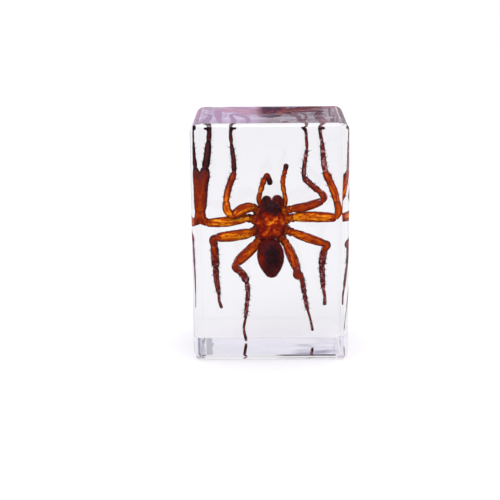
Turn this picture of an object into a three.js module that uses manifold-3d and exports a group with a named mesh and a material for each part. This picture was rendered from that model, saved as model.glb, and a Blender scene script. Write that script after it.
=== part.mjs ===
// A clear cast-resin block that stands on one of its short ends: the kind of casting in which a dried
// specimen is sealed. It is one solid. Its edges are rounded and polished, but for the upright edge at
// the front right, which is ground to a slightly domed bevel.
// Millimetres, +Z up. The origin is the middle of the underside, and the broad front face looks
// towards -Y.

import * as THREE from 'three';
import { mergeVertices } from 'three/addons/utils/BufferGeometryUtils.js';
import Module from 'manifold-3d';

// Driving dimensions
const WIDTH = 27.94; // along X, 1.1 in
const DEPTH = 21; // along Y
const HEIGHT = 43.18; // along Z, 1.7 in
const UPRIGHT_EDGE_RADIUS = 1.7; // the edges along Z, but for the bevelled one
const SIDE_EDGE_RADIUS = 1.8; // the four edges along Y, seen as the corners of the front face
const FRONT_TOP_RADIUS = 0.7; // the edge along X at the front's top
const FRONT_FOOT_RADIUS = 1.2; // the edge along X at the front's foot
const BACK_EDGE_RADIUS = 0.1; // the two edges along X at the back
const BEVEL_RADIUS = 2.8; // the bevel's slight dome
const BEVEL_START = 30; // degrees that the bevel is turned from the front face where it begins
const BEVEL_END = 70; // and where it ends, towards the right face
const BEVEL_RIM_RADIUS = 0.3; // where the bevel meets the two faces
const ARC_STEPS = 10; // facets in each arc
const OVERSHOOT = 4; // how far each rounded bar runs past the faces that the other bars give

// Directions of the block's frame
const X = new THREE.Vector3(1, 0, 0);
const Y = new THREE.Vector3(0, 1, 0);
const Z = new THREE.Vector3(0, 0, 1);

const wasm = await Module();
wasm.setup();

// Adds to an outline the quarter circle at one corner of a rectangle about the origin. The corners
// count anticlockwise from the one at high x and high y.
function addRound(shape, across, up, corner, radius) {
  const sideX = corner === 0 || corner === 3 ? 1 : -1;
  const sideY = corner < 2 ? 1 : -1;
  const middleX = sideX * (across / 2 - radius);
  const middleY = sideY * (up / 2 - radius);
  const start = (corner * Math.PI) / 2;
  shape.absarc(middleX, middleY, radius, start, start + Math.PI / 2, false);
}

// Adds the domed bevel and its two rims at the corner at high x and low y: three arcs, each of which
// goes on in the direction in which the one before it ends.
function addBevel(shape, across, up) {
  const rimStart = THREE.MathUtils.degToRad(BEVEL_START);
  const rimEnd = THREE.MathUtils.degToRad(BEVEL_END);
  const arcs = [
    { from: 0, to: rimStart, radius: BEVEL_RIM_RADIUS },
    { from: rimStart, to: rimEnd, radius: BEVEL_RADIUS },
    { from: rimEnd, to: Math.PI / 2, radius: BEVEL_RIM_RADIUS },
  ];
  let x = across / 2;
  for (const { from, to, radius } of arcs) {
    x -= radius * (Math.sin(to) - Math.sin(from));
  }
  let y = -up / 2;
  for (const { from, to, radius } of arcs) {
    const middleX = x - radius * Math.sin(from);
    const middleY = y + radius * Math.cos(from);
    shape.absarc(middleX, middleY, radius, from - Math.PI / 2, to - Math.PI / 2, false);
    x = middleX + radius * Math.sin(to);
    y = middleY - radius * Math.cos(to);
  }
}

// A rectangle about the origin with four round corners.
function roundedRectangle(across, up, radii) {
  const shape = new THREE.Shape();
  radii.forEach((radius, corner) => addRound(shape, across, up, corner, radius));
  shape.closePath();
  return shape;
}

// The block seen from above, with three round corners and the bevelled one.
function planOutline() {
  const shape = new THREE.Shape();
  for (const corner of [0, 1, 2]) {
    addRound(shape, WIDTH, DEPTH, corner, UPRIGHT_EDGE_RADIUS);
  }
  addBevel(shape, WIDTH, DEPTH);
  shape.closePath();
  return shape;
}

// A bar with the outline given, centred on the origin. The outline's own x and y run along the
// directions across and up, and the bar runs along their cross product.
function bar(outline, length, across, up) {
  const geometry = new THREE.ExtrudeGeometry(outline, {
    depth: length,
    bevelEnabled: false,
    curveSegments: ARC_STEPS,
  });
  geometry.translate(0, 0, -length / 2);
  const along = new THREE.Vector3().crossVectors(across, up);
  geometry.applyMatrix4(new THREE.Matrix4().makeBasis(across, up, along));
  return geometry;
}

// The same closed shape as a manifold-3d solid, with only positions left and shared corners merged.
function toSolid(geometry) {
  const bare = geometry.clone();
  bare.deleteAttribute('normal');
  bare.deleteAttribute('uv');
  const merged = mergeVertices(bare, 1e-5);
  const mesh = new wasm.Mesh({
    numProp: 3,
    vertProperties: new Float32Array(merged.attributes.position.array),
    triVerts: new Uint32Array(merged.index.array),
  });
  return new wasm.Manifold(mesh);
}

// A manifold-3d solid as a flat-shaded three.js geometry.
function toGeometry(solid) {
  const mesh = solid.getMesh();
  const geometry = new THREE.BufferGeometry();
  geometry.setAttribute('position', new THREE.BufferAttribute(mesh.vertProperties, 3));
  geometry.setIndex(new THREE.BufferAttribute(mesh.triVerts, 1));
  const faceted = geometry.toNonIndexed();
  faceted.computeVertexNormals();
  return faceted;
}

// The block is what three bars share. Each bar shapes the four edges along its own length.
function blockGeometry() {
  const sideRadii = [BACK_EDGE_RADIUS, FRONT_TOP_RADIUS, FRONT_FOOT_RADIUS, BACK_EDGE_RADIUS];
  const plan = planOutline();
  const front = roundedRectangle(HEIGHT, WIDTH, new Array(4).fill(SIDE_EDGE_RADIUS));
  const side = roundedRectangle(DEPTH, HEIGHT, sideRadii);
  const uprightBar = toSolid(bar(plan, HEIGHT + OVERSHOOT, X, Y));
  const deepBar = toSolid(bar(front, DEPTH + OVERSHOOT, Z, X));
  const wideBar = toSolid(bar(side, WIDTH + OVERSHOOT, Y, Z));
  const geometry = toGeometry(uprightBar.intersect(deepBar).intersect(wideBar));
  geometry.translate(0, 0, HEIGHT / 2);
  return geometry;
}

function clearResin() {
  return new THREE.MeshStandardMaterial({
    name: 'clear_resin',
    color: 0xeeecf3,
    roughness: 0.03,
    metalness: 0,
    transparent: true,
    opacity: 0.35,
  });
}

const block = new THREE.Mesh(blockGeometry(), clearResin());
block.name = 'resin_block';

const part = new THREE.Group();
part.name = 'spider_in_resin_block';
part.add(block);

export default part;
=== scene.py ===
# The looks of a dried spider sealed in a clear resin block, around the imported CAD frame.
# Metres, +Z up. The block's broad front face looks towards -Y. The spider's back faces it, head up.
import math
import random

import bpy
import numpy as np
from mathutils import Matrix, Vector, noise
from mathutils.geometry import intersect_point_line


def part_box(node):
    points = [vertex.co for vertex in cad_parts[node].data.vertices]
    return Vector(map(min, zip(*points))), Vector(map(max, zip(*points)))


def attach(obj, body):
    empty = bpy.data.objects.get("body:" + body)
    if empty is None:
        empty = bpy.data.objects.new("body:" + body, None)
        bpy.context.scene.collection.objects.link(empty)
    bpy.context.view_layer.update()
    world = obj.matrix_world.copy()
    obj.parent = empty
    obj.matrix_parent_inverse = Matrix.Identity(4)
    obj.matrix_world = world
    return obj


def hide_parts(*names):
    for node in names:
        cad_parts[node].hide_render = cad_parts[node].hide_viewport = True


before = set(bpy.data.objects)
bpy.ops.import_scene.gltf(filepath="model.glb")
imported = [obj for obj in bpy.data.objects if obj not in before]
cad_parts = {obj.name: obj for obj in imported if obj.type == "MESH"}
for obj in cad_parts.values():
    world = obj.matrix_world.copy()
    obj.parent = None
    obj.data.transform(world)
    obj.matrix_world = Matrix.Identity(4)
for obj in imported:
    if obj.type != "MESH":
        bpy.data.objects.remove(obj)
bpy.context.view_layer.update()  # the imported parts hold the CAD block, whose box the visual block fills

MM = 0.001
random.seed(7)

# ---- the view

# The photograph is 500 by 500 pixels. Columns run right and rows run down.
IMAGE_SIDE = 500
SENSOR_WIDTH = 36.0  # mm
FOCAL_PIXELS = 1276
CAMERA_PLACE = Vector((-0.4, -229.1, 76.8)) * MM
CAMERA_YAW = math.radians(-0.84)  # turned towards -X
CAMERA_PITCH = math.radians(14.40)  # looking down
CAMERA_ROLL = math.radians(-0.53)


def added(name, data):
    """A new object in the scene."""
    new = bpy.data.objects.new(name, data)
    bpy.context.collection.objects.link(new)
    return new


def camera_axes():
    """The camera's right, up and forward directions."""
    forward = Vector((
        math.sin(CAMERA_YAW) * math.cos(CAMERA_PITCH),
        math.cos(CAMERA_YAW) * math.cos(CAMERA_PITCH),
        -math.sin(CAMERA_PITCH),
    ))
    level = Vector((math.cos(CAMERA_YAW), -math.sin(CAMERA_YAW), 0))
    upright = level.cross(forward)
    right = level * math.cos(CAMERA_ROLL) + upright * math.sin(CAMERA_ROLL)
    up = upright * math.cos(CAMERA_ROLL) - level * math.sin(CAMERA_ROLL)
    return right, up, forward


def make_camera():
    right, up, forward = camera_axes()
    data = bpy.data.cameras.new("camera")
    data.sensor_width = SENSOR_WIDTH
    data.lens = FOCAL_PIXELS / IMAGE_SIDE * SENSOR_WIDTH
    data.clip_start = 0.01
    data.clip_end = 20
    camera = added("camera", data)
    camera.location = CAMERA_PLACE
    camera.rotation_euler = Matrix((right, up, -forward)).transposed().to_euler()
    bpy.context.scene.camera = camera


# ---- the block's sizes

RESIN_IOR = 1.55
UPRIGHT_EDGE_RADIUS = 1.7 * MM  # the edges along Z, but for the bevelled one
SIDE_EDGE_RADIUS = 1.8 * MM  # the four edges along Y
FRONT_TOP_RADIUS = 0.7 * MM  # the edge along X at the front's top
FRONT_FOOT_RADIUS = 1.2 * MM  # the edge along X at the front's foot
BACK_EDGE_RADIUS = 0.04 * MM  # the two edges along X at the back, which are nearly sharp
# The bevelled edge's arcs, as (degrees turned from the front face at start and end, radius)
BEVEL = ((0, 30, 0.3 * MM), (30, 70, 2.8 * MM), (70, 90, 0.3 * MM))
BLOCK_LOW, BLOCK_HIGH = (Vector(corner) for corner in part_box("resin_block"))
BLOCK_SIZE = BLOCK_HIGH - BLOCK_LOW
BLOCK_MIDDLE = (BLOCK_HIGH + BLOCK_LOW) / 2


def seen_inside(column, row, depth):
    """The point in the resin, depth mm behind the front face, that the camera sees at a pixel."""
    right, up, forward = camera_axes()
    half = IMAGE_SIDE / 2
    way = (forward * FOCAL_PIXELS + right * (column - half) + up * (half - row)).normalized()
    entry = CAMERA_PLACE + way * ((BLOCK_LOW.y - CAMERA_PLACE.y) / way.y)
    ratio = 1 / RESIN_IOR
    bent = Vector((way.x * ratio, 0, way.z * ratio))
    bent.y = math.sqrt(1 - bent.length_squared)
    return entry + bent * (depth * MM / bent.y)


# ---- surfaces

class Surface:
    """Points and faces, with the two point attributes that the cuticle's shader reads.

    tone runs from 0, thin pale amber, to 1, thick and nearly black. grain is the point's place in
    mm in the part's own straightened frame, so that streaks run along a leg.
    """

    def __init__(self):
        self.points = []
        self.faces = []
        self.tones = []
        self.grains = []

    def add(self, points, faces, tones, grains):
        first = len(self.points)
        self.points.extend(points)
        self.faces.extend(tuple(first + i for i in face) for face in faces)
        self.tones.extend(tones)
        self.grains.extend(grains)


def skin(ring_count, sides):
    """Faces over rings of equal size, closed by a pole at each end."""
    last = ring_count * sides + 1
    faces = [(0, 1 + (side + 1) % sides, 1 + side) for side in range(sides)]
    for ring in range(ring_count - 1):
        near = 1 + ring * sides
        far = near + sides
        for side in range(sides):
            after = (side + 1) % sides
            faces.append((near + side, near + after, far + after, far + side))
    near = 1 + (ring_count - 1) * sides
    faces.extend((near + side, near + (side + 1) % sides, last) for side in range(sides))
    return faces


def make_piece(name, surface, material):
    """A piece from a Surface. It rides on the root body and takes the given material."""
    mesh = bpy.data.meshes.new(name)
    mesh.from_pydata(surface.points, [], surface.faces)
    tone = mesh.attributes.new("tone", "FLOAT", "POINT")
    tone.data.foreach_set("value", surface.tones)
    grain = mesh.attributes.new("grain", "FLOAT_VECTOR", "POINT")
    grain.data.foreach_set("vector", [number for place in surface.grains for number in place])
    mesh.polygons.foreach_set("use_smooth", [True] * len(mesh.polygons))
    mesh.materials.append(material)
    mesh.validate()
    piece = added(name, mesh)
    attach(piece, "root")


def between(knots, where):
    """Values at where on a smooth curve through knots, each (place, value, value, ...)."""
    table = np.array(knots, float)
    places = table[:, 0]
    where = np.asarray(where, float)
    slopes = np.gradient(table[:, 1:], places, axis=0)
    index = np.clip(np.searchsorted(places, where) - 1, 0, len(places) - 2)
    width = places[index + 1] - places[index]
    t = ((where - places[index]) / width)[:, None]
    low, high = table[index, 1:], table[index + 1, 1:]
    low_slope = slopes[index] * width[:, None]
    high_slope = slopes[index + 1] * width[:, None]
    return (
        (2 * t**3 - 3 * t**2 + 1) * low
        + (t**3 - 2 * t**2 + t) * low_slope
        + (3 * t**2 - 2 * t**3) * high
        + (t**3 - t**2) * high_slope
    )


# ---- materials

def linear(*levels):
    """A screen colour's red, green and blue, 0 to 1, as the linear RGBA that shaders take."""
    return (*[c / 12.92 if c <= 0.04045 else ((c + 0.055) / 1.055) ** 2.4 for c in levels], 1)


def new_material(name, inputs):
    """A material with only its Principled shader, some of whose inputs are set, and its output."""
    material = bpy.data.materials.new(name)
    material.use_nodes = True
    material.node_tree.nodes.clear()
    output = joined(material, "OutputMaterial")
    shader = joined(material, "BsdfPrincipled", inputs)
    plugged(material, shader.outputs["BSDF"], output.inputs["Surface"])
    return material, shader, output


def joined(material, kind, inputs=(), **settings):
    """A new shader node of a kind, with its inputs set from values or linked from sockets."""
    node = material.node_tree.nodes.new("ShaderNode" + kind)
    for key, value in settings.items():
        setattr(node, key, value)
    for key, value in dict(inputs).items():
        if isinstance(value, bpy.types.NodeSocket):
            plugged(material, value, node.inputs[key])
        else:
            node.inputs[key].default_value = value
    return node


def plugged(material, source, target):
    material.node_tree.links.new(source, target)


def ranged(material, value, low, high, new_low=0.0, new_high=1.0):
    """A value carried over from one range to another, and held at the ends."""
    node = joined(material, "MapRange", {
        "Value": value,
        "From Min": low,
        "From Max": high,
        "To Min": new_low,
        "To Max": new_high,
    })
    return node.outputs["Result"]


def counted(material, operation, *values, clamped=False):
    """The result of a Math node."""
    node = joined(material, "Math", enumerate(values), operation=operation, use_clamp=clamped)
    return node.outputs["Value"]


def mixed(material, share, first, second, blend="MIX"):
    """The first colour where share is 0 and the second where it is 1."""
    inputs = {0: share, 6: first, 7: second}
    node = joined(material, "Mix", inputs, data_type="RGBA", blend_type=blend)
    return node.outputs[2]


def cloudy(material, place, scale, detail=2.0, roughness=0.5):
    """Soft noise round 0.5."""
    node = joined(material, "TexNoise", {
        "Vector": place,
        "Scale": scale,
        "Detail": detail,
        "Roughness": roughness,
    })
    return node.outputs["Fac"]


def ramped(material, value, stops):
    """The colour for a value on a ramp through stops, each (place, linear colour)."""
    ramp = joined(material, "ValToRGB", {"Fac": value})
    points = ramp.color_ramp.elements
    while len(points) < len(stops):
        points.new(1.0)
    for point, (place, colour) in zip(points, stops):
        point.position = place
        point.color = colour
    return ramp.outputs["Color"]


def bumped(material, shader, height, strength, distance):
    """Gives a shader fine relief."""
    bump = joined(material, "Bump", {"Height": height, "Strength": strength, "Distance": distance})
    plugged(material, bump.outputs["Normal"], shader.inputs["Normal"])


def grain_of(material):
    """The grain that a Surface gives its points."""
    return joined(material, "Attribute", attribute_name="grain").outputs["Vector"]


# What 1 m of resin takes from each colour, as an exponent. Over the block's depth it is a faint
# lavender cast.
RESIN_TAKES = (8.2, 8.5, 7.4)
RESIN_DENSITY = 20.0


def clear_resin():
    """Clear resin with a faint tint and very faint waves in its polish."""
    material, shader, output = new_material("clear_resin", {
        "Base Color": (1, 1, 1, 1),
        "Roughness": 0,
        "IOR": RESIN_IOR,
        "Transmission Weight": 1,
    })
    tint = (*[1 - taken / RESIN_DENSITY for taken in RESIN_TAKES], 1)
    volume = joined(material, "VolumeAbsorption", {"Color": tint, "Density": RESIN_DENSITY})
    plugged(material, volume.outputs["Volume"], output.inputs["Volume"])
    place = joined(material, "TexCoord").outputs["Object"]
    waves = cloudy(material, place, 160.0, detail=1.0)
    bumped(material, shader, waves, strength=0.04, distance=0.4 * MM)
    return material


# Screen colours of the cuticle from thin to thick, as (tone, red, green, blue).
LIMB_COLOURS = (
    (0, 0.95, 0.66, 0.14),
    (0.15, 0.84, 0.46, 0.01),
    (0.35, 0.69, 0.26, 0),
    (0.55, 0.53, 0.14, 0.03),
    (0.75, 0.4, 0.13, 0.1),
    (0.9, 0.27, 0.1, 0.12),
    (1, 0.12, 0.04, 0.06),
)
BODY_COLOURS = (
    (0, 0.95, 0.66, 0.14),
    (0.15, 0.88, 0.46, 0.05),
    (0.35, 0.74, 0.26, 0.01),
    (0.55, 0.56, 0.12, 0),
    (0.75, 0.4, 0.07, 0.05),
    (0.9, 0.26, 0.07, 0.09),
    (1, 0.11, 0.04, 0.07),
)
STREAK_GRAIN = (1.2, 1.2, 0.3)  # makes the streaks four times as long as they are wide
STREAK_CHANGE = 0.36  # of tone, up or down, where the cuticle is thin
SPECK_CHANGE = 0.42  # of tone, in the middle of a dark speck


def cuticle(name, colours, glint_specked):
    """Dried cuticle in resin: little gloss, light that soaks through, streaks and dark specks. The
    specked kind also has pale specks painted as glints of tiny air bubbles.
    """
    material, shader, _ = new_material(name, {
        "Subsurface Weight": 0.7,
        "Subsurface Radius": (1.0, 0.4, 0.15),
        "Subsurface Scale": 0.5 * MM,
        "Specular IOR Level": 0.03,
    })
    tone = joined(material, "Attribute", attribute_name="tone").outputs["Fac"]
    grain = grain_of(material)
    long_grain = joined(material, "Mapping", {"Vector": grain, "Scale": STREAK_GRAIN})
    streaks = cloudy(material, long_grain.outputs["Vector"], 1.9, detail=4.0, roughness=0.6)
    streak_tone = ranged(material, streaks, 0.3, 0.7, -STREAK_CHANGE, STREAK_CHANGE)
    specks = joined(material, "TexVoronoi", {"Vector": grain, "Scale": 1.4})
    speck_tone = ranged(material, specks.outputs["Distance"], 0.08, 0.28, SPECK_CHANGE, 0.0)
    thinness = counted(material, "SUBTRACT", 1.15, tone)
    streaked = counted(material, "MULTIPLY_ADD", streak_tone, thinness, tone)
    total = counted(material, "ADD", streaked, speck_tone, clamped=True)
    colour = ramped(material, total, [(place, linear(*screen)) for place, *screen in colours])
    if glint_specked:
        colour = with_painted_glints(material, grain, tone, colour)
    plugged(material, colour, shader.inputs["Base Color"])
    fine = cloudy(material, grain, 9.0, detail=3.0)
    plugged(material, ranged(material, fine, 0.0, 1.0, 0.3, 0.6), shader.inputs["Roughness"])
    bumped(material, shader, fine, strength=0.35, distance=0.05 * MM)
    return material


# Painted glints: pale specks that stand for the bright glints of tiny air bubbles on the legs.
GLINT_SPECK_CHANCE = 0.46  # that a cell on the dark parts has a pale speck painted as a glint
GLINT_SPECK_COLOUR = (0.80, 0.56, 0.60)


def with_painted_glints(material, grain, tone, colour):
    """The colour with painted glints, small pale specks here and there on the thick, dark parts."""
    cells = joined(material, "TexVoronoi", {"Vector": grain, "Scale": 2.6})
    near = ranged(material, cells.outputs["Distance"], 0.60, 0.34)
    chance = joined(material, "SeparateColor", {"Color": cells.outputs["Color"]})
    chosen = counted(material, "GREATER_THAN", chance.outputs["Red"], 1 - GLINT_SPECK_CHANCE)
    dark = ranged(material, tone, 0.62, 0.72, 0.0, 0.75)
    share = counted(material, "MULTIPLY", near, chosen)
    share = counted(material, "MULTIPLY", share, dark)
    return mixed(material, share, colour, linear(*GLINT_SPECK_COLOUR))


def bristle_stuff():
    """Dark brown hair, a little lighter in places."""
    material, shader, _ = new_material("bristles", {"Roughness": 0.5, "Specular IOR Level": 0.2})
    shade = cloudy(material, grain_of(material), 1.2)
    stops = ((0.35, linear(0.16, 0.05, 0.06)), (0.7, linear(0.36, 0.13, 0.10)))
    plugged(material, ramped(material, shade, stops), shader.inputs["Base Color"])
    return material


def eye_stuff():
    """Glossy, nearly black beads."""
    material, shader, _ = new_material("eyes", {"Roughness": 0.12, "Specular IOR Level": 0.8})
    shade = cloudy(material, grain_of(material), 6.0)
    stops = ((0, linear(0.03, 0.02, 0.02)), (1, linear(0.16, 0.07, 0.05)))
    plugged(material, ramped(material, shade, stops), shader.inputs["Base Color"])
    return material


CONTACT_SHADE = (0.955, 0.945, 0.975, 1)  # what the floor close to the block keeps of each colour
CONTACT_REACH = 1.8  # where the shade ends, as a multiple of the block's half width and half depth


def floor_stuff():
    """Plain pale floor, with a faint soft shade round the block's foot."""
    material, shader, _ = new_material("floor", {"Roughness": 0.9, "Specular IOR Level": 0.1})
    place = joined(material, "TexCoord").outputs["Object"]
    stops = ((0, linear(0.915, 0.915, 0.920)), (1, linear(0.925, 0.925, 0.930)))
    pale = ramped(material, cloudy(material, place, 30.0), stops)
    footprint = joined(material, "Mapping", {
        "Vector": place,
        "Scale": (2 / BLOCK_SIZE.x, 2 / BLOCK_SIZE.y, 0),
    })
    distance = joined(material, "VectorMath", {0: footprint.outputs["Vector"]}, operation="LENGTH")
    clear = ranged(material, distance.outputs["Value"], 1.0, CONTACT_REACH)
    kept = mixed(material, clear, CONTACT_SHADE, (1, 1, 1, 1))
    shaded = mixed(material, 1.0, pale, kept, "MULTIPLY")
    plugged(material, shaded, shader.inputs["Base Color"])
    return material


# ---- the resin block

ARC_STEPS = 24  # facets in each quarter round
OVERSHOOT = 2 * MM  # how far each bar runs past the faces that the other bars give
FLAT = 0.99999  # a normal with a part above this belongs to a flat face

# The radii of the edges along X, Y and Z, counted as in outline_along. None is the bevel.
EDGE_RADII = (
    (BACK_EDGE_RADIUS, FRONT_TOP_RADIUS, FRONT_FOOT_RADIUS, BACK_EDGE_RADIUS),
    (SIDE_EDGE_RADIUS,) * 4,
    (UPRIGHT_EDGE_RADIUS, UPRIGHT_EDGE_RADIUS, UPRIGHT_EDGE_RADIUS, None),
)


def arc(middle_x, middle_y, radius, start, end):
    """Points of an arc between two angles in quarter turns, each with its outward direction."""
    steps = round(ARC_STEPS * (end - start))
    angles = [(start + (end - start) * step / steps) * math.pi / 2 for step in range(steps + 1)]
    outward = [Vector((math.cos(angle), math.sin(angle))) for angle in angles]
    return [(Vector((middle_x, middle_y)) + out * radius, out) for out in outward]


def bevelled_corner(half_x, half_y):
    """The corner at high X and low Y. Each arc goes on in the direction in which the last ends."""
    turns = [(math.radians(start), math.radians(stop), radius) for start, stop, radius in BEVEL]
    wide = sum(radius * (math.sin(stop) - math.sin(start)) for start, stop, radius in turns)
    place = Vector((half_x - wide, -half_y))
    points = []
    for start, stop, radius in turns:
        middle = place - Vector((math.sin(start), -math.cos(start))) * radius
        points += arc(*middle, radius, 3 + start / (math.pi / 2), 3 + stop / (math.pi / 2))
        place = points[-1][0]
    return points


def outline_along(axis):
    """The block's outline as seen along an axis, about its middle: (point, outward direction)."""
    half_x = BLOCK_SIZE[(axis + 1) % 3] / 2
    half_y = BLOCK_SIZE[(axis + 2) % 3] / 2
    outline = []
    for quarter, (side_x, side_y) in enumerate(((1, 1), (-1, 1), (-1, -1), (1, -1))):
        radius = EDGE_RADII[axis][quarter]
        if radius:
            middle = side_x * (half_x - radius), side_y * (half_y - radius)
            outline += arc(*middle, radius, quarter, quarter + 1)
        else:
            outline += bevelled_corner(half_x, half_y)
    return outline


def bar(along, outline):
    """A long bar through the block's middle with an outline, which faces along an axis."""
    first, second = (along + 1) % 3, (along + 2) % 3
    reach = BLOCK_SIZE[along] / 2 + OVERSHOOT
    points = []
    for end in (-reach, reach):
        for (a, b), _ in outline:
            point = Vector()
            point[first], point[second], point[along] = a, b, end
            points.append(point + BLOCK_MIDDLE)
    count = len(outline)
    faces = [tuple(reversed(range(count))), tuple(range(count, 2 * count))]
    for i in range(count):
        after = (i + 1) % count
        faces.append((i, after, count + after, count + i))
    mesh = bpy.data.meshes.new("bar")
    mesh.from_pydata(points, [], faces)
    return added("bar", mesh)


def round_normals(middle, places, along, outline):
    """The exact outward directions at the corners of a face of the bar that runs along an axis."""
    first, second = (along + 1) % 3, (along + 2) % 3

    def flattened(place):
        return Vector((place[first] - BLOCK_MIDDLE[first], place[second] - BLOCK_MIDDLE[second]))

    centre = flattened(middle)

    def distance_to(run):
        """How far the face's middle is from a run's line, and how far past the run's ends."""
        (low, _), (high, _) = run
        beside = (intersect_point_line(centre, low, high)[0] - centre).length
        past = (centre - (low + high) / 2).length - (high - low).length / 2
        return beside + max(past, 0)

    (low, low_out), (high, high_out) = min(zip(outline, outline[1:] + outline[:1]), key=distance_to)
    normals = []
    for place in places:
        part = intersect_point_line(flattened(place), low, high)[1]
        normal = Vector()
        normal[first], normal[second] = low_out.lerp(high_out, min(max(part, 0), 1)).normalized()
        normals.append(normal)
    return normals


def make_block(material):
    """What three rounded bars share, as in the CAD model, with finer rounds and exact normals.

    It casts no shadow, so light reaches the spider straight through it. The floor's own faint shade
    stands for its shadow.
    """
    outlines = [outline_along(axis) for axis in range(3)]
    bars = [bar(axis, outline) for axis, outline in enumerate(outlines)]
    block = bars[2]
    for other in bars[:2]:
        cut = block.modifiers.new("shared", "BOOLEAN")
        cut.operation = "INTERSECT"
        cut.solver = "EXACT"
        cut.object = other
    shaped = block.evaluated_get(bpy.context.evaluated_depsgraph_get())
    mesh = bpy.data.meshes.new_from_object(shaped)
    for each in bars:
        bpy.data.objects.remove(each)
    mesh.name = "clear_resin_block"
    mesh.polygons.foreach_set("use_smooth", [True] * len(mesh.polygons))
    normals = [Vector()] * len(mesh.loops)
    for face in mesh.polygons:
        along = min(range(3), key=lambda axis: abs(face.normal[axis]))
        exact = [face.normal] * len(face.vertices)
        if max(abs(part) for part in face.normal) < FLAT:
            places = [mesh.vertices[i].co for i in face.vertices]
            exact = round_normals(face.center, places, along, outlines[along])
        for corner, normal in zip(face.loop_indices, exact):
            normals[corner] = normal
    mesh.normals_split_custom_set(normals)
    mesh.materials.clear()
    mesh.materials.append(material)
    piece = added("clear_resin_block", mesh)
    piece.visible_shadow = False
    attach(piece, "root")
    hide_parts("resin_block")


# ---- the studio

FLOOR_RADIUS = 3.0
FLOOR_SIDES = 96
FLOOR_GAP = 0.02 * MM  # keeps the floor clear of the block's underside


def make_floor():
    turns = [math.tau * side / FLOOR_SIDES for side in range(FLOOR_SIDES)]
    ring = [(FLOOR_RADIUS * math.cos(turn), FLOOR_RADIUS * math.sin(turn), 0) for turn in turns]
    mesh = bpy.data.meshes.new("floor")
    mesh.from_pydata(ring, [], [tuple(range(FLOOR_SIDES))])
    mesh.materials.append(floor_stuff())
    floor = added("floor", mesh)
    floor.location.z = -FLOOR_GAP
    floor.visible_glossy = False  # the block's faces mirror the dome alone


LAMP_PLACE = Vector((-0.25, -0.75, 0.60))  # above and in front of the block, to the left
LAMP_SIDE = 0.6
LAMP_POWER = 4.5  # W


def make_lamp():
    """A square soft lamp that faces the block."""
    data = bpy.data.lights.new("front_lamp", "AREA")
    data.size = LAMP_SIDE
    data.energy = LAMP_POWER
    lamp = added("front_lamp", data)
    lamp.location = LAMP_PLACE
    lamp.rotation_euler = (BLOCK_MIDDLE - LAMP_PLACE).to_track_quat("-Z", "Y").to_euler()
    lamp.visible_transmission = False  # or it shows through the block's foot as a bright line


# The dome's brightness, as (height from straight down at 0 to straight up at 1, brightness).
DOME_LEVELS = (
    (0.45, 1),
    (0.68, 1),
    (0.8, 1.25),
    (1, 1.25),
)
DOME_BRIGHTEST = 1.5

# Cards in the dome, which the block's faces mirror and bend into view. The camera's own rays don't
# see them. Each is from and to in X, Y and Z of the direction seen from the block, the softness of
# its rim, and red, green and blue. A later card covers an earlier one.
CARDS = (
    (-2, 2, -2, -0.05, -2, -0.02, 0.05, 0.06, 0.06, 0.06),
    (-0.9, -0.2, 0.2, 2, -0.3, 0.14, 0.01, 0.72, 0.52, 0.78),
    (0.2, 0.9, 0.2, 2, -0.3, 0.14, 0.01, 0.5, 0.48, 0.54),
    (-0.32, -0.107, 0, 2, -0.06, 0.25, 0.012, 0.74, 0.54, 0.84),
    (0.107, 0.32, 0, 2, -0.06, 0.25, 0.012, 0.42, 0.37, 0.44),
    (-2, 2, 0, 2, 0.136, 0.165, 0.003, 0.88, 0.66, 1),
    (-0.006, 2, 0, 2, 0.136, 0.165, 0.016, 0.44, 0.34, 0.41),
    (-0.006, 0.044, 0, 2, 0.136, 0.1455, 0.006, 0.13, 0.09, 0.16),
    (0.008, 0.06, 0, 2, 0.17, 0.303, 0.008, 0.1, 0.06, 0.09),
    (-2, 2, 0, 2, 0.3, 0.345, 0.01, 1.02, 1, 1.08),
    (-2, 2, 0, 2, 0.322, 0.345, 0.014, 0.94, 0.93, 1.02),
    (-0.06, -0.042, 0, 2, 0.29, 0.345, 0.001, 0.62, 0.61, 0.66),
    (0.052, 0.15, 0, 2, 0.2, 0.345, 0.004, 0.62, 0.61, 0.66),
    (0.15, 0.26, 0, 2, 0.2, 0.345, 0.01, 0.34, 0.34, 0.46),
    (0.026, 0.044, 0, 2, 0.318, 0.345, 0.012, 0.84, 0.82, 0.91),
    (0.02, 0.05, 0, 2, 0.3245, 0.345, 0.01, 0.48, 0.45, 0.58),
)


def dome_colour(*levels):
    """Levels of red, green and blue light as shares of the dome's strength."""
    return (*[level / DOME_BRIGHTEST for level in levels], 1)


def make_dome():
    """A soft dome of light all round, pale down to the horizon and brighter overhead."""
    world = bpy.data.worlds.new("studio")
    world.use_nodes = True
    place = joined(world, "TexCoord")
    way = joined(world, "SeparateXYZ", {"Vector": place.outputs["Generated"]})
    height = ranged(world, way.outputs["Z"], -1.0, 1.0)
    stops = [(stop, dome_colour(level, level, level)) for stop, level in DOME_LEVELS]
    bare = light = ramped(world, height, stops)
    for *ranges, rim, red, green, blue in CARDS:
        half = rim / 2
        share = 1.0
        for axis, low, high in zip("XYZ", ranges[0::2], ranges[1::2]):
            for start, stop in ((low - half, low + half), (high + half, high - half)):
                side = ranged(world, way.outputs[axis], start, stop)
                share = counted(world, "MULTIPLY", share, side)
        light = mixed(world, share, light, dome_colour(red, green, blue))
    ray = joined(world, "LightPath")
    seen = mixed(world, ray.outputs["Is Camera Ray"], light, bare)
    background = world.node_tree.nodes["Background"]
    background.inputs["Strength"].default_value = DOME_BRIGHTEST
    plugged(world, seen, background.inputs["Color"])
    return world


def make_studio():
    scene = bpy.context.scene
    scene.world = make_dome()
    make_lamp()
    scene.view_settings.view_transform = "Standard"
    scene.cycles.max_bounces = 24
    scene.cycles.transmission_bounces = 24
    scene.cycles.glossy_bounces = 16
    make_floor()


# ---- the spider

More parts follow.
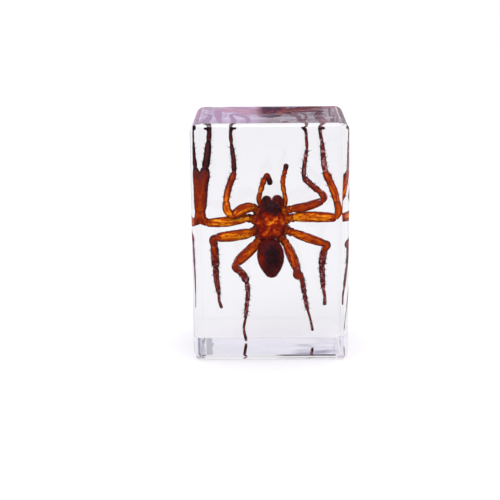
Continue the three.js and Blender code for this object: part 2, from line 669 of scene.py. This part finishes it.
# The body's own directions: across to the right as the camera sees it, ahead towards the head, and
# back towards the front face of the block, which the spider's back faces.
ACROSS = Vector((1, 0, 0))
AHEAD = Vector((0, 0, 1))
BACK = Vector((0, -1, 0))
BODY_PIXEL = (270.3, 222)  # column and row of the middle of the carapace
BODY_DEPTH = 10.4  # mm behind the front face
BODY_PLACE = seen_inside(*BODY_PIXEL, BODY_DEPTH)


def on_body(across, ahead, back):
    """A point from its distances in mm from the body's middle."""
    return BODY_PLACE + (ACROSS * across + AHEAD * ahead + BACK * back) * MM


def fade(value, low, high):
    """0 below low, 1 above high, and smooth between."""
    t = min(max((value - low) / (high - low), 0.0), 1.0)
    return t * t * (3 - 2 * t)


def spot(x, y, spread_x, spread_y):
    """1 at the origin, falling off smoothly on all sides."""
    return math.exp(-((x / spread_x) ** 2) - (y / spread_y) ** 2)


class Limb:
    """A rod of changing width along a smooth path, such as a leg's segment or a jaw."""

    def __init__(self, path, radius, shape, step=0.12 * MM):
        """shape is knots of (part of the length, part of the radius)."""
        runs = [0.0]
        for near, far in zip(path, path[1:]):
            runs.append(runs[-1] + (far - near).length)
        self.length = runs[-1]
        self.count = max(8, round(self.length / step))
        self.parts = np.linspace(0, 1, self.count + 1)
        track = between([(run / self.length, *place) for run, place in zip(runs, path)], self.parts)
        self.centres = [Vector(row) for row in track]
        self.widths = [radius * float(row[0]) for row in between(shape, self.parts)]
        self.ways, self.sides, self.rises = [], [], []
        for i in range(self.count + 1):
            way = (self.centres[min(i + 1, self.count)] - self.centres[max(i - 1, 0)]).normalized()
            side = way.cross(BACK + ACROSS * 0.001).normalized()
            self.ways.append(way)
            self.sides.append(side)
            self.rises.append(side.cross(way))
        self.seed = Vector([random.uniform(-50, 50) for _ in range(3)])

    def outward(self, i, angle):
        return self.sides[i] * math.cos(angle) + self.rises[i] * math.sin(angle)

    def build(self, surface, tone, around=20):
        """Adds the rod. tone takes the part of the length and how far out on a flank, 0 to 1."""
        points = [self.centres[0] - self.ways[0] * self.widths[0] * 0.6]
        tones = [tone(0, 0.5)]
        grains = [self.seed]
        for i, t in enumerate(self.parts):
            for k in range(around):
                angle = math.tau * k / around
                width = self.widths[i]
                local = Vector((math.cos(angle) * width, math.sin(angle) * width, t * self.length))
                grain = local / MM + self.seed
                dents = 0.07 * noise.noise(grain * 1.4) + 0.03 * noise.noise(grain * 5)
                points.append(self.centres[i] + self.outward(i, angle) * (width * (1 + dents)))
                tones.append(tone(t, abs(math.cos(angle))))
                grains.append(grain)
        points.append(self.centres[-1] + self.ways[-1] * self.widths[-1] * 0.6)
        tones.append(tone(1, 0.5))
        grains.append(self.seed + Vector((0, 0, self.length / MM)))
        surface.add(points, skin(self.count + 1, around), tones, grains)


def add_bristle(surface, root, way, length, width, bend, around=4):
    """A curved, pointed hair or spine."""
    side = way.orthogonal().normalized()
    other = way.cross(side)
    rings = 3
    points = [root - way * width]
    for i in range(rings):
        t = i / rings
        centre = root + way * (length * t) + bend * (length * t * t)
        for k in range(around):
            angle = math.tau * k / around
            out = side * math.cos(angle) + other * math.sin(angle)
            points.append(centre + out * (width * (1 - 0.8 * t)))
    points.append(root + way * length + bend * length)
    surface.add(points, skin(rings, around), [1.0] * len(points), [root / MM] * len(points))


def grow(surface, limb, count, length, width, lean, reach=(0.06, 0.96)):
    """Hairs at random places within a part of a limb. lean is how strongly they point along it."""
    for _ in range(count):
        i = round(random.uniform(*reach) * limb.count)
        angle = random.uniform(0, math.tau)
        out = limb.outward(i, angle)
        way = (out + limb.ways[i] * lean * random.uniform(0.7, 1.3)).normalized()
        root = limb.centres[i] + out * limb.widths[i] * 0.95
        size = length * random.uniform(0.65, 1.2)
        add_bristle(surface, root, way, size, width, limb.ways[i] * 0.25)


SPINE_GAP = 1.1 * MM
SPINE_LENGTH = 0.50 * MM
SPINE_WIDTH = 0.09 * MM


def grow_spines(surface, limb):
    """Rows of stout spines down both flanks of a limb, and a few on its back."""
    for flank in (0.0, 0.5 * math.pi, math.pi):
        along = random.uniform(0.5, 1.0) * SPINE_GAP
        gap = SPINE_GAP * (3.0 if flank == 0.5 * math.pi else 1.0)
        while along < limb.length:
            i = round(along / limb.length * limb.count)
            out = limb.outward(i, flank + random.uniform(-0.5, 0.5))
            way = (out + limb.ways[i] * random.uniform(0.3, 0.9)).normalized()
            root = limb.centres[i] + out * limb.widths[i] * 0.9
            size = SPINE_LENGTH * random.uniform(0.6, 1.25)
            add_bristle(surface, root, way, size, SPINE_WIDTH, limb.ways[i] * 0.3, around=5)
            along += gap * random.uniform(0.6, 1.4)


# ---- legs and palps

# Knots of (part of the length, part of the radius).
COXA_SHAPE = ((0, 0.7), (0.3, 0.95), (0.7, 1.0), (1, 0.82))
FEMUR_SHAPE = ((0, 0.74), (0.1, 0.90), (0.35, 1.0), (0.65, 1.0), (0.9, 0.88), (1, 0.76))
KNEE_SHAPE = ((0, 0.84), (0.3, 1.0), (0.7, 1.0), (1, 0.88))
TIBIA_SHAPE = ((0, 0.85), (0.15, 1.0), (0.6, 0.98), (0.92, 0.96), (1, 0.75))
METATARSUS_SHAPE = ((0, 0.85), (0.1, 1.05), (0.4, 1.0), (0.9, 0.80), (1, 0.65))
TARSUS_SHAPE = ((0, 0.75), (0.1, 0.95), (0.5, 0.92), (0.85, 1.08), (1, 0.95))

# A leg's segments from the body outwards: name, shape, hairs, hair length in mm, how much darker it
# gets from end to end, and whether stout spines grow on it.
LEG_SEGMENTS = (
    ("coxa", COXA_SHAPE, 24, 0.16, 0.0, False),
    ("trochanter", COXA_SHAPE, 12, 0.16, 0.0, False),
    ("femur", FEMUR_SHAPE, 70, 0.18, 0.0, False),
    ("patella", KNEE_SHAPE, 40, 0.18, 0.0, False),
    ("tibia", TIBIA_SHAPE, 110, 0.18, 0.24, True),
    ("metatarsus", METATARSUS_SHAPE, 110, 0.17, 0.0, True),
    ("tarsus", TARSUS_SHAPE, 80, 0.15, 0.34, False),
)

# Each leg from its root outwards, as the camera sees it through the front face. A place is (column,
# row, mm of resin in front of it). The root comes first. Each segment is (radius in mm, tone,
# places), where the last place is the segment's far joint and any before it shape its bend.
LEGS = {
    "leg_1_left": (
        (263, 213.5, 12),
        (1.02, 0.42, (255.5, 209.3, 11.8)),
        (0.8, 0.38, (251.8, 206.5, 11)),
        (0.98, 0.32, (242, 209.8, 9.3), (232.3, 216.3, 8.3)),
        (0.74, 0.26, (227.4, 210.5, 8.1), (225.9, 202, 8.4)),
        (0.6, 0.46, (227.8, 191, 9.2), (234.2, 172.5, 10.2)),
        (0.43, 0.82, (233.6, 160, 10.8), (231.3, 143.5, 11.6)),
        (0.34, 0.92, (230.8, 131, 12.2), (231.6, 128, 12.6), (235.3, 127.4, 13)),
    ),
    "leg_2_left": (
        (262, 220, 12),
        (1.05, 0.34, (252, 219, 11.8)),
        (0.84, 0.3, (247.5, 217.7, 11)),
        (0.93, 0.16, (228, 221.5, 9.3), (207.3, 223, 8.3)),
        (0.82, 0.44, (202.4, 219.5, 8.2), (201.2, 211, 8.3)),
        (0.97, 0.58, (202.2, 192, 8.9), (205.2, 168.5, 9.8)),
        (0.64, 0.88, (207.2, 156, 10.4), (208.6, 141, 11.2)),
        (0.46, 0.93, (209.2, 131.5, 11.8), (208.7, 128.2, 12.2), (205, 127.2, 12.6)),
    ),
    "leg_3_left": (
        (262, 227, 12),
        (1.05, 0.42, (254.5, 231, 11.8)),
        (0.84, 0.4, (251, 232.8, 11.2)),
        (1.01, 0.21, (235, 235.6, 9.4), (217.3, 237.5, 8.6)),
        (0.76, 0.58, (213.9, 239, 8.6), (214.2, 245.5, 9)),
        (0.74, 0.62, (215, 256, 10), (215.7, 266.5, 11.1)),
        (0.53, 0.66, (216.6, 280, 12.5), (218.9, 294, 13.8)),
        (0.28, 0.74, (219.3, 301, 14.4), (221.6, 307.5, 14.9)),
    ),
    "leg_4_left": (
        (263.5, 233, 12),
        (1, 0.42, (258.7, 240.2, 11.8)),
        (0.8, 0.36, (256.2, 244, 11.2)),
        (1, 0.36, (247.5, 252.8, 10), (236.3, 263, 8.9)),
        (0.76, 0.6, (235.7, 267.5, 8.9), (239.4, 270.6, 9.2)),
        (0.66, 0.66, (243.4, 275.2, 9.7), (246.6, 281.3, 10.4)),
        (0.41, 0.72, (248, 292.5, 11.4), (246.7, 306, 12.4), (245.6, 318.2, 13.2)),
        (0.25, 0.76, (243.8, 328.5, 15.2), (246.1, 340, 16.8)),
    ),
    "leg_1_right": (
        (278, 213, 12),
        (1, 0.26, (287.8, 210, 11.6)),
        (0.74, 0.4, (291.5, 208.9, 11)),
        (0.82, 0.42, (306, 206.6, 9.6), (321.9, 201.3, 8.6)),
        (0.64, 0.5, (324, 197.4, 8.5), (320.6, 192.2, 8.7)),
        (0.55, 0.62, (312.6, 186.1, 9.3), (303.6, 177.5, 10)),
        (0.38, 0.76, (304.4, 165, 10.8), (307, 148.5, 11.6)),
        (0.29, 0.82, (306.4, 139, 12), (305, 129.5, 12.4), (302.2, 127, 12.9)),
    ),
    "leg_2_right": (
        (279, 219.5, 12),
        (1.05, 0.28, (289.5, 218.6, 11.8)),
        (0.84, 0.26, (295, 217, 11)),
        (0.98, 0.17, (314, 216.8, 9.4), (335.3, 217.6, 8.3)),
        (0.68, 0.42, (338.2, 213, 8.2), (336.7, 201, 8.5)),
        (0.68, 0.38, (333.5, 190.5, 9), (325, 171, 10)),
        (0.47, 0.74, (323.3, 157, 10.7), (322, 141.5, 11.4)),
        (0.34, 0.92, (320.4, 133, 11.9), (320.2, 128.2, 12.3), (323.8, 127.6, 12.8)),
    ),
    "leg_3_right": (
        (279, 226.5, 12),
        (1.05, 0.4, (288.5, 230.8, 11.8)),
        (0.82, 0.38, (293, 232.5, 11.2)),
        (0.85, 0.3, (308, 238, 9.6), (323.8, 243.3, 8.7)),
        (0.72, 0.56, (326.6, 244.4, 8.7), (324.3, 249.5, 9.1)),
        (0.66, 0.71, (322.8, 257, 10), (321.8, 265, 11)),
        (0.51, 0.72, (322.4, 277, 12.3), (323.4, 289.3, 13.5)),
        (0.31, 0.74, (324.7, 296.5, 14.1), (324.6, 304.3, 14.7)),
    ),
    "leg_4_right": (
        (277.5, 233, 12),
        (1, 0.4, (283.5, 240, 11.8)),
        (0.8, 0.38, (286.5, 244.5, 11.2)),
        (0.93, 0.44, (292, 256.5, 10), (297.2, 269.5, 9)),
        (0.78, 0.6, (297.4, 275.4, 9), (301.2, 275.4, 9.6)),
        (0.47, 0.64, (302.3, 281, 11.4), (304.5, 294, 14)),
        (0.4, 0.7, (306.1, 302.5, 15.6), (307.6, 309.8, 16.9)),
        (0.23, 0.74, (309.9, 317.5, 18), (312.5, 330, 19.3)),
    ),
}


# How a segment's tone changes on its flanks, which is painted shade for the dark outline of a
# back-lit leg, at the rim of its far end and on the skin at its start
FLANK_SHADE_CHANGE = 0.58
RIM_CHANGE = 0.2
SKIN_CHANGE = -0.08


def limb_tone(base, far_end=True, darkening=0.0):

    def tone(t, lateral):
        # painted shade: darker towards the outline as seen from the front, where light through a
        # back-lit leg crosses more cuticle
        flank = FLANK_SHADE_CHANGE * lateral**3.5 + darkening * (t - 0.5)
        rim = RIM_CHANGE * fade(t, 0.88, 0.98) * far_end
        skin = SKIN_CHANGE * (1 - fade(t, 0.02, 0.07))
        return min(max(base + flank + rim + skin, 0.0), 1.0)

    return tone


CLAW_LENGTH = 0.42 * MM
CLAW_WIDTH = 0.10 * MM


def make_leg(name, shell, hair):
    root, *segments = LEGS[name]
    leg, bristles = Surface(), Surface()
    start = seen_inside(*root)
    for kind, (radius, tone, *places) in zip(LEG_SEGMENTS, segments):
        segment, shape, hairs, hair_length, darkening, spiny = kind
        path = [start] + [seen_inside(*place) for place in places]
        limb = Limb(path, radius * MM, shape)
        limb.build(leg, limb_tone(tone, segment != "tarsus", darkening))
        grow(bristles, limb, hairs, hair_length * MM, width=0.02 * MM, lean=1.2)
        if spiny:
            grow_spines(bristles, limb)
        start = path[-1]
    add_claws(bristles, limb)
    make_piece(name, leg, shell)
    make_piece(name + "_bristles", bristles, hair)


def add_claws(surface, tarsus):
    """The two hooked claws at a leg's tip, in their tuft of short hair."""
    tip, way, side, rise = tarsus.centres[-1], tarsus.ways[-1], tarsus.sides[-1], tarsus.rises[-1]
    for turn in (-1, 1):
        out = (way + side * 0.7 * turn + rise * 0.3).normalized()
        add_bristle(surface, tip, out, CLAW_LENGTH, CLAW_WIDTH, -rise * 0.5, around=6)
    grow(surface, tarsus, 60, 0.2 * MM, width=0.018 * MM, lean=0.9, reach=(0.86, 1.0))


# Each palp from its root outwards, in the same terms as a leg. It has no metatarsus.
PALP_SHAPES = (COXA_SHAPE, FEMUR_SHAPE, KNEE_SHAPE, TIBIA_SHAPE, TARSUS_SHAPE)
PALPS = {
    "palp_left": (
        (266, 211, 12),
        (0.62, 0.46, (260.2, 205, 11.4)),
        (0.48, 0.38, (258.9, 198.5, 10.6), (260.3, 192, 10)),
        (0.5, 0.24, (261.4, 188, 9.8), (262.3, 185.2, 9.6)),
        (0.54, 0.3, (263.5, 181, 9.4), (264.6, 178.2, 9.3)),
        (0.47, 0.58, (267, 175.4, 9.3), (269.4, 180, 9.6), (269.9, 184, 9.9)),
    ),
    "palp_right": (
        (278.5, 211, 12),
        (0.6, 0.46, (285.4, 205.2, 11.4)),
        (0.44, 0.32, (285.2, 198.5, 10.6), (284.1, 192, 10)),
        (0.44, 0.26, (283.3, 188, 9.8), (283, 184.5, 9.6)),
        (0.46, 0.24, (282.9, 180, 9.4), (284, 175, 9.3)),
        (0.44, 0.52, (285, 171, 9.2), (286.3, 164.6, 9.2)),
    ),
}


def palp_tip_tone(base):
    """The tone of a palp's last segment, which darkens towards its tip, with painted shade on its
    flanks.
    """
    return lambda t, lateral: min(base + 0.3 * lateral**4 + 0.4 * fade(t, 0.3, 0.7), 1.0)


def make_palp(name, shell, hair):
    root, *segments = PALPS[name]
    palp, bristles = Surface(), Surface()
    start = seen_inside(*root)
    for shape, (radius, base, *places) in zip(PALP_SHAPES, segments):
        path = [start] + [seen_inside(*place) for place in places]
        limb = Limb(path, radius * MM, shape, step=0.09 * MM)
        tone = palp_tip_tone(base) if shape is TARSUS_SHAPE else limb_tone(base)
        limb.build(palp, tone, around=18)
        grow(bristles, limb, 45, 0.26 * MM, width=0.018 * MM, lean=1.1)
        start = path[-1]
    make_piece(name, palp, shell)
    make_piece(name + "_bristles", bristles, hair)


# ---- body

class Loft:
    """A closed body along the spider's length.

    stations are knots of (ahead, across, half width, back height, belly depth), in mm. relief takes
    (across, ahead, is_back) and gives how far the surface stands out, in mm.
    """

    def __init__(self, stations, relief, around, rings, roundness=1.0):
        knots = sorted(stations)
        self.around = around
        self.rows = []
        where = np.linspace(knots[0][0], knots[-1][0], rings)
        for ahead, (across, half, high, deep) in zip(where, between(knots, where)):
            row = []
            for k in range(around):
                c, s = math.cos(math.tau * k / around), math.sin(math.tau * k / around)
                x = across + half * math.copysign(abs(c) ** roundness, c)
                y = (high if s > 0 else deep) * math.copysign(abs(s) ** roundness, s)
                swell = 0.04 * noise.noise(Vector((x, y, ahead)) * 1.8)
                if relief:
                    swell += relief(x, ahead, s > 0)
                row.append(Vector((x + c * swell, ahead, y + s * swell)))
            self.rows.append(row)

    def build(self, surface, tone):
        """Adds the body. tone takes (across, ahead, is_back)."""
        ends = [sum(row, Vector()) / self.around for row in (self.rows[0], self.rows[-1])]
        local = [ends[0]] + [place for row in self.rows for place in row] + [ends[1]]
        points = [on_body(*place) for place in local]
        tones = [min(max(tone(place.x, place.y, place.z > 0), 0.0), 1.0) for place in local]
        faces = [tuple(reversed(face)) for face in skin(len(self.rows), self.around)]
        surface.add(points, faces, tones, local)

    def grow(self, surface, count, length, width, lean, lean_way):
        """Hairs at random places, which all lean one way."""
        for _ in range(count):
            row = random.choice(self.rows[2:-2])
            place = random.choice(row)
            middle = sum(row, Vector()) / self.around
            out = on_body(*place) - on_body(*middle)
            way = (out.normalized() + lean_way * lean).normalized()
            size = length * random.uniform(0.6, 1.2)
            add_bristle(surface, on_body(*place), way, size, width, lean_way * 0.3)


# ahead, across, half width, back height and belly depth, in mm
CARAPACE = (
    (-3.35, 0, 0.3, 0.15, 0.1),
    (-3.1, 0, 1.3, 0.6, 0.35),
    (-2.3, 0, 2.25, 1.05, 0.55),
    (-1, 0, 2.72, 1.4, 0.65),
    (0.4, 0, 2.7, 1.55, 0.7),
    (1.5, 0, 2.3, 1.6, 0.7),
    (2.4, 0.1, 1.92, 1.7, 0.7),
    (3.2, 0.2, 1.8, 1.6, 0.6),
    (3.75, 0.25, 1.45, 1.2, 0.45),
    (4, 0.25, 0.5, 0.5, 0.2),
)
GROOVE_BEARINGS = (35, 75, 112, 150)  # degrees from straight ahead, on both sides

# Pale and dark marks on the carapace: across, ahead, spread across and ahead in mm, change of tone.
CARAPACE_MARKS = (
    (0, 0.05, 0.3, 0.34, -0.4),
    (-0.35, 0.45, 0.26, 0.26, -0.2),
    (-0.72, 0.9, 0.24, 0.4, -0.26),
    (0.95, 0.75, 0.34, 0.34, -0.26),
    (1.05, 0.2, 0.42, 0.4, -0.24),
    (0.45, 0.05, 0.4, 0.25, -0.22),
    (-0.45, -0.25, 0.35, 0.25, -0.24),
    (-0.15, -0.95, 0.16, 0.6, -0.16),
    (-0.7, -1.75, 0.32, 0.3, -0.26),
    (-1.25, -2.3, 0.36, 0.34, -0.3),
    (0.6, -1.45, 0.22, 0.34, -0.18),
    (0.95, -1.95, 0.24, 0.3, -0.16),
    (1.4, -2.35, 0.42, 0.32, -0.24),
    (-2.35, -0.05, 0.34, 0.42, -0.24),
    (2.45, -0.05, 0.38, 0.4, -0.3),
    (-1.15, -0.8, 0.4, 0.55, 0.18),
    (-1.9, -1.6, 0.55, 0.8, 0.14),
    (0.15, -1.4, 0.14, 0.6, 0.16),
    (0, 0.85, 0.34, 0.34, 0.12),
    (1.9, -0.7, 0.45, 0.5, 0.14),
    (-1.6, 1, 0.5, 0.5, 0.16),
    (0.2, -2.75, 0.6, 0.3, 0.24),
)


def groove(across, ahead):
    """How deep in a radial groove of the carapace a place is, 0 to 1."""
    distance = math.hypot(across, ahead)
    bearing = math.degrees(math.atan2(abs(across), ahead))
    nearest = min(abs(bearing - each) for each in GROOVE_BEARINGS)
    radial = spot(nearest, 0, 11, 1) * fade(distance, 0.2, 0.6) * (1 - fade(distance, 1.6, 2.6))
    midline = spot(across, 0, 0.16, 1) * (1 - fade(ahead, 0.3, 1.0))
    return max(radial, midline * (1 - fade(distance, 1.6, 2.4)))


def carapace_relief(across, ahead, is_back):
    if not is_back:
        return 0.0
    return -0.14 * groove(across, ahead) - 0.22 * spot(across, ahead, 0.14, 0.4)


def carapace_tone(across, ahead, is_back):
    if not is_back:
        return 0.55
    marks = sum(
        change * spot(across - x, ahead - y, spread_x, spread_y)
        for x, y, spread_x, spread_y, change in CARAPACE_MARKS
    )
    blotches = 0.20 * noise.noise(Vector((across, ahead, 4.2)) * 1.7)
    margin = 0.22 * fade(math.hypot(across / 2.75, (ahead + 0.2) / 3.4), 0.70, 1.0)
    head = fade(ahead + 0.35 * spot(across - 0.8, 0, 1.1, 1), 1.25, 2.55)
    shade = 0.53 + 1.1 * marks + blotches + margin
    return shade + (0.96 - shade) * head - 0.12 * head * spot(across + 1.6, ahead - 2.6, 0.7, 0.8)


ABDOMEN = (
    (-10.48, 0.22, 0.25, 0.2, 0.2),
    (-10.3, 0.2, 0.72, 0.6, 0.55),
    (-9.9, 0.18, 1.1, 0.95, 0.9),
    (-9.2, 0.14, 1.6, 1.35, 1.3),
    (-8.2, 0.1, 2.12, 1.8, 1.75),
    (-6.9, 0.04, 2.44, 2.1, 2),
    (-5.6, 0, 2.42, 2.1, 1.95),
    (-4.4, 0, 1.98, 1.7, 1.55),
    (-3.5, 0, 1.28, 1.15, 1),
    (-3, 0, 0.5, 0.4, 0.36),
)


DIMPLES = (-5.0, -6.2, -7.4)  # mm ahead


def abdomen_relief(across, ahead, is_back):
    """Pairs of muscle dimples and cross folds on the back, and the furrow across the belly."""
    if not is_back:
        return -0.10 * spot(ahead + 5.0 + 0.08 * across**2, 0, 0.14, 1)
    dimples = sum(spot(abs(across) - 0.65, ahead - place, 0.18, 0.2) for place in DIMPLES)
    folds = 0.5 + 0.5 * math.sin(9.0 * ahead + 0.5 * across**2)
    return -0.08 * dimples - 0.03 * folds * (1 - fade(ahead, -8.8, -8.0))


def abdomen_tone(across, ahead, is_back):
    edge = fade(math.hypot((across - 0.3) / 2.6, (ahead + 6.3) / 4.4), 0.15, 1.0)
    patch = spot(across + 1.70, ahead + 6.70, 0.50, 0.90)
    blotches = 0.06 * noise.noise(Vector((across, ahead, 9.1)) * 1.2)
    return 0.99 - 0.19 * edge - 0.31 * patch + blotches


STERNUM = (
    (-2.35, 0, 0.15, -1.45, 1.7),
    (-1.9, 0, 0.75, -1.25, 1.97),
    (-0.9, 0, 1.35, -1.15, 2.1),
    (0.4, 0, 1.5, -1.15, 2.1),
    (1.35, 0, 1.15, -1.15, 2.05),
    (1.75, 0, 0.55, -1.35, 1.85),
)


def make_carapace(shell, hair):
    plate, hairs = Surface(), Surface()
    loft = Loft(CARAPACE, carapace_relief, around=96, rings=90, roundness=0.9)
    loft.build(plate, carapace_tone)
    loft.grow(hairs, 260, 0.26 * MM, width=0.016 * MM, lean=0.9, lean_way=AHEAD)
    make_piece("carapace", plate, shell)
    make_piece("carapace_hairs", hairs, hair)


def make_abdomen(shell, hair):
    sac, hairs = Surface(), Surface()
    loft = Loft(ABDOMEN, abdomen_relief, around=80, rings=100)
    loft.build(sac, abdomen_tone)
    loft.grow(hairs, 600, 0.20 * MM, width=0.010 * MM, lean=1.8, lean_way=-AHEAD)
    make_piece("abdomen", sac, shell)
    make_piece("abdomen_hairs", hairs, hair)


def sternum_tone(across, ahead, is_back):
    return 0.42 + 0.2 * fade(abs(across), 0.8, 1.4)


def make_sternum(shell):
    """The plate between the leg roots on the belly side, with the lip and the two mouth lobes."""
    plate = Surface()
    Loft(STERNUM, None, around=48, rings=40).build(plate, sternum_tone)
    lip = Limb([on_body(0, 1.6, -2.0), on_body(0, 2.5, -2.15)], 0.42 * MM, COXA_SHAPE)
    lip.build(plate, limb_tone(0.6, False))
    for side in (-1, 1):
        path = [on_body(0.75 * side, 1.5, -2.0), on_body(0.55 * side, 3.2, -2.3)]
        lobe = Limb(path, 0.5 * MM, COXA_SHAPE)
        lobe.build(plate, limb_tone(0.5, False))
    make_piece("sternum_and_mouthparts", plate, shell)


# On one side: across, ahead, length and radius, in mm.
SPINNERETS = ((0.32, -9.95, 0.72, 0.24), (0.18, -9.55, 0.4, 0.14), (0.42, -9.3, 0.6, 0.2))


def make_pedicel_and_spinnerets(shell):
    surface = Surface()
    stalk = Limb([on_body(0, -2.9, -0.2), on_body(0, -3.9, 0.0)], 0.5 * MM, COXA_SHAPE)
    stalk.build(surface, limb_tone(0.6, False))
    for across, ahead, length, radius in SPINNERETS:
        for side in (-1, 1):
            root = on_body(across * side + 0.15, ahead + 0.3, -0.7)
            tip = on_body(across * side * 1.2 + 0.15, ahead + 0.3 - length, -1.1)
            spinneret = Limb([root, tip], radius * MM, TARSUS_SHAPE, step=0.06 * MM)
            spinneret.build(surface, limb_tone(0.62, False), around=14)
    make_piece("pedicel_and_spinnerets", surface, shell)


JAW_SHAPE = ((0, 0.65), (0.2, 0.95), (0.45, 1.0), (0.75, 0.95), (0.93, 0.75), (1, 0.5))
FANG_SHAPE = ((0, 0.9), (0.2, 1.0), (0.6, 0.6), (0.9, 0.25), (1, 0.08))

# Side, across and radius in mm, and tone.
JAWS = ((-1, -0.65, 0.88, 0.94), (1, 1.32, 1, 0.87))


def make_jaws(shell, hair):
    """The two stout jaws, which reach ahead and down from the head, with their fangs folded in."""
    jaws, hairs = Surface(), Surface()
    for side, across, radius, tone in JAWS:
        path = [
            on_body(across, 2.6, 0.75),
            on_body(across, 3.85, -0.1),
            on_body(across - 0.1 * side, 3.7, -1.9),
        ]
        jaw = Limb(path, radius * MM, JAW_SHAPE, step=0.08 * MM)
        jaw.build(jaws, lambda t, lateral: tone - 0.18 * lateral**2, around=28)
        grow(hairs, jaw, 110, 0.30 * MM, width=0.018 * MM, lean=0.8, reach=(0.2, 0.95))
        fang_path = [
            on_body(across + 0.15 * side, 3.8, -2.2),
            on_body(across - 0.2 * side, 3.9, -2.75),
            on_body(across - 0.85 * side, 3.4, -2.8),
        ]
        fang = Limb(fang_path, 0.24 * MM, FANG_SHAPE, step=0.06 * MM)
        fang.build(jaws, lambda t, lateral: 0.80 + 0.2 * t, around=16)
    make_piece("jaws_and_fangs", jaws, shell)
    make_piece("jaw_hairs", hairs, hair)


# On the right, in mm from the body's middle: across, ahead, back and radius. The left mirrors it.
EYES = (
    (0.26, 3.72, 1.05, 0.14),
    (0.72, 3.62, 1, 0.12),
    (0.38, 3.32, 1.5, 0.17),
    (1.02, 2.95, 1.45, 0.15),
)
EYE_ROW_MIDDLE = 0.2  # mm across
BEAD_SHAPE = ((0, 0.3), (0.15, 0.71), (0.5, 1.0), (0.85, 0.71), (1, 0.3))


def make_eyes(material):
    beads = Surface()
    for across, ahead, back, radius in EYES:
        for side in (-1, 1):
            middle = EYE_ROW_MIDDLE + across * side
            path = [on_body(middle, ahead, back + reach * radius) for reach in (-1, 1)]
            bead = Limb(path, radius * MM, BEAD_SHAPE, step=0.03 * MM)
            bead.build(beads, lambda t, lateral: 1.0, around=16)
    make_piece("eyes", beads, material)


LEGS_WITHOUT_GLINTS = ("leg_1_left", "leg_2_left")  # the ones without the pale specks painted as glints


def make_spider():
    shell = cuticle("body_cuticle", BODY_COLOURS, False)
    limb_shell = cuticle("limb_cuticle", LIMB_COLOURS, False)
    glint_specked_shell = cuticle("glint_specked_limb_cuticle", LIMB_COLOURS, True)
    hair = bristle_stuff()
    make_carapace(shell, hair)
    make_abdomen(shell, hair)
    make_jaws(shell, hair)
    make_eyes(eye_stuff())
    make_sternum(shell)
    make_pedicel_and_spinnerets(shell)
    for name in PALPS:
        make_palp(name, limb_shell, hair)
    for name in LEGS:
        make_leg(name, limb_shell if name in LEGS_WITHOUT_GLINTS else glint_specked_shell, hair)


make_camera()
make_studio()
make_block(clear_resin())
make_spider()
